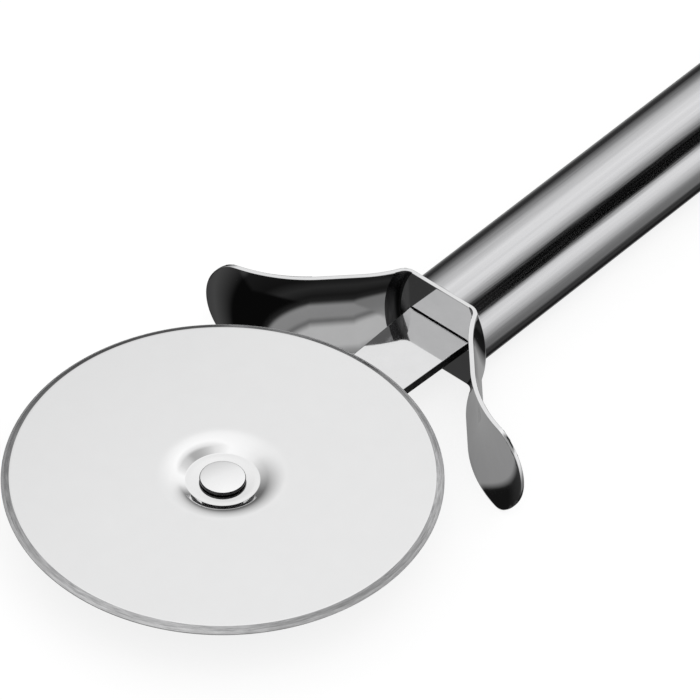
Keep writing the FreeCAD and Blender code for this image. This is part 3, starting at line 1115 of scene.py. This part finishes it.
front_light, round_light, tube_light = [
    graded(tree, share, [(grade[0], grade[column]) for grade in tent_grades])
    for column in (1, 2, 3)
]
aside = maths(tree, "ABSOLUTE", parts.outputs[1])
slant = maths(tree, "MULTIPLY_ADD", aside, -tent_step_slant, parts.outputs[0])
past_blade = stepped(tree, slant, tent_step - tent_step_half, 2 * tent_step_half)
past_card_start = stepped(tree, parts.outputs[0], card_start, card_soft)
past_card_end = stepped(tree, parts.outputs[0], card_end, card_soft)
at_card = maths(tree, "SUBTRACT", past_card_start, past_card_end)
at_end = stepped(tree, maths(tree, "ABSOLUTE", parts.outputs[0]), tent_end, tent_end_soft)
paper_light = mixed(tree, at_card, round_light, tube_light)
paper_light = mixed(tree, past_blade, front_light, paper_light)
paper_light = mixed(tree, at_end, paper_light, tent_end_grey)
glow = place_node(tree, "ShaderNodeEmission", {"Color": paper_light})
output = tree.nodes.new("ShaderNodeOutputMaterial")
tree.links.new(glow.outputs[0], output.inputs["Surface"])
tent.data.materials.append(paper)
tent.visible_camera = False
tent.visible_diffuse = False
tent.visible_transmission = False
tent.visible_volume_scatter = False
tent.visible_shadow = False

# Key lamp and sky: a large soft lamp over the camera's side, which the metal doesn't show,
# and an even white sky, a little dimmer where it only fills the shadows.
key_size = 1.2
key_power = 9.0
key_place = (-0.5, -0.7, 1.3)
sky_fill = 0.85
key = bpy.data.lights.new("soft_key", "AREA")
key.size = key_size
key.energy = key_power
key_lamp = bpy.data.objects.new("soft_key", key)
bpy.context.scene.collection.objects.link(key_lamp)
key_lamp.location = key_place
key_lamp.rotation_euler = (-Vector(key_place)).to_track_quat("-Z", "Y").to_euler()
key_lamp.visible_glossy = False

sky = bpy.data.worlds.new("white_sky")
bpy.context.scene.world = sky
sky.use_nodes = True
tree = sky.node_tree
ray = tree.nodes.new("ShaderNodeLightPath")
seen = maths(tree, "MAXIMUM", ray.outputs["Is Camera Ray"], ray.outputs["Is Glossy Ray"])
seen = maths(tree, "MAXIMUM", seen, ray.outputs["Is Transmission Ray"])
strength = {"Value": seen, "To Min": sky_fill, "To Max": 1.0}
strength = place_node(tree, "ShaderNodeMapRange", strength).outputs["Result"]
background = tree.nodes["Background"]
background.inputs["Color"].default_value = (1, 1, 1, 1)
feed(tree, background, {"Strength": strength})
bpy.context.scene.view_settings.view_transform = "Standard"

# Camera: a long lens about 1.3 m away, above and to the left of the handle, fitted to the blade's rim.
# The blade's middle falls on one pixel of the 700 by 700 picture.
camera_turn = math.radians(-49.136)
camera_rise = math.radians(43.368)
camera_roll = math.radians(0.927)
camera_distance = 1.2785
pixels_per_metre = 6001.0
picture_side = 700
blade_pixel = (222.70, 473.50)
right = Vector((math.cos(camera_turn), math.sin(camera_turn), 0))
forward = Vector((
    -math.sin(camera_turn) * math.cos(camera_rise),
    math.cos(camera_turn) * math.cos(camera_rise),
    -math.sin(camera_rise),
))
above = right.cross(forward)
picture_right = math.cos(camera_roll) * right + math.sin(camera_roll) * above
picture_up = math.cos(camera_roll) * above - math.sin(camera_roll) * right
beside = (blade_pixel[0] - picture_side / 2) / pixels_per_metre
higher = (picture_side / 2 - blade_pixel[1]) / pixels_per_metre
blade_centre = Vector((axle_x, 0, blade_top))
lens = bpy.data.cameras.new("long_lens")
lens.sensor_width = 36.0
lens.lens = lens.sensor_width * pixels_per_metre * camera_distance / picture_side
lens.clip_start = 0.05
lens.clip_end = 20.0
camera = bpy.data.objects.new("long_lens", lens)
bpy.context.scene.collection.objects.link(camera)
camera.location = blade_centre - camera_distance * forward - beside * picture_right - higher * picture_up
camera.rotation_euler = Matrix((picture_right, picture_up, -forward)).transposed().to_euler()
bpy.context.scene.camera = camera
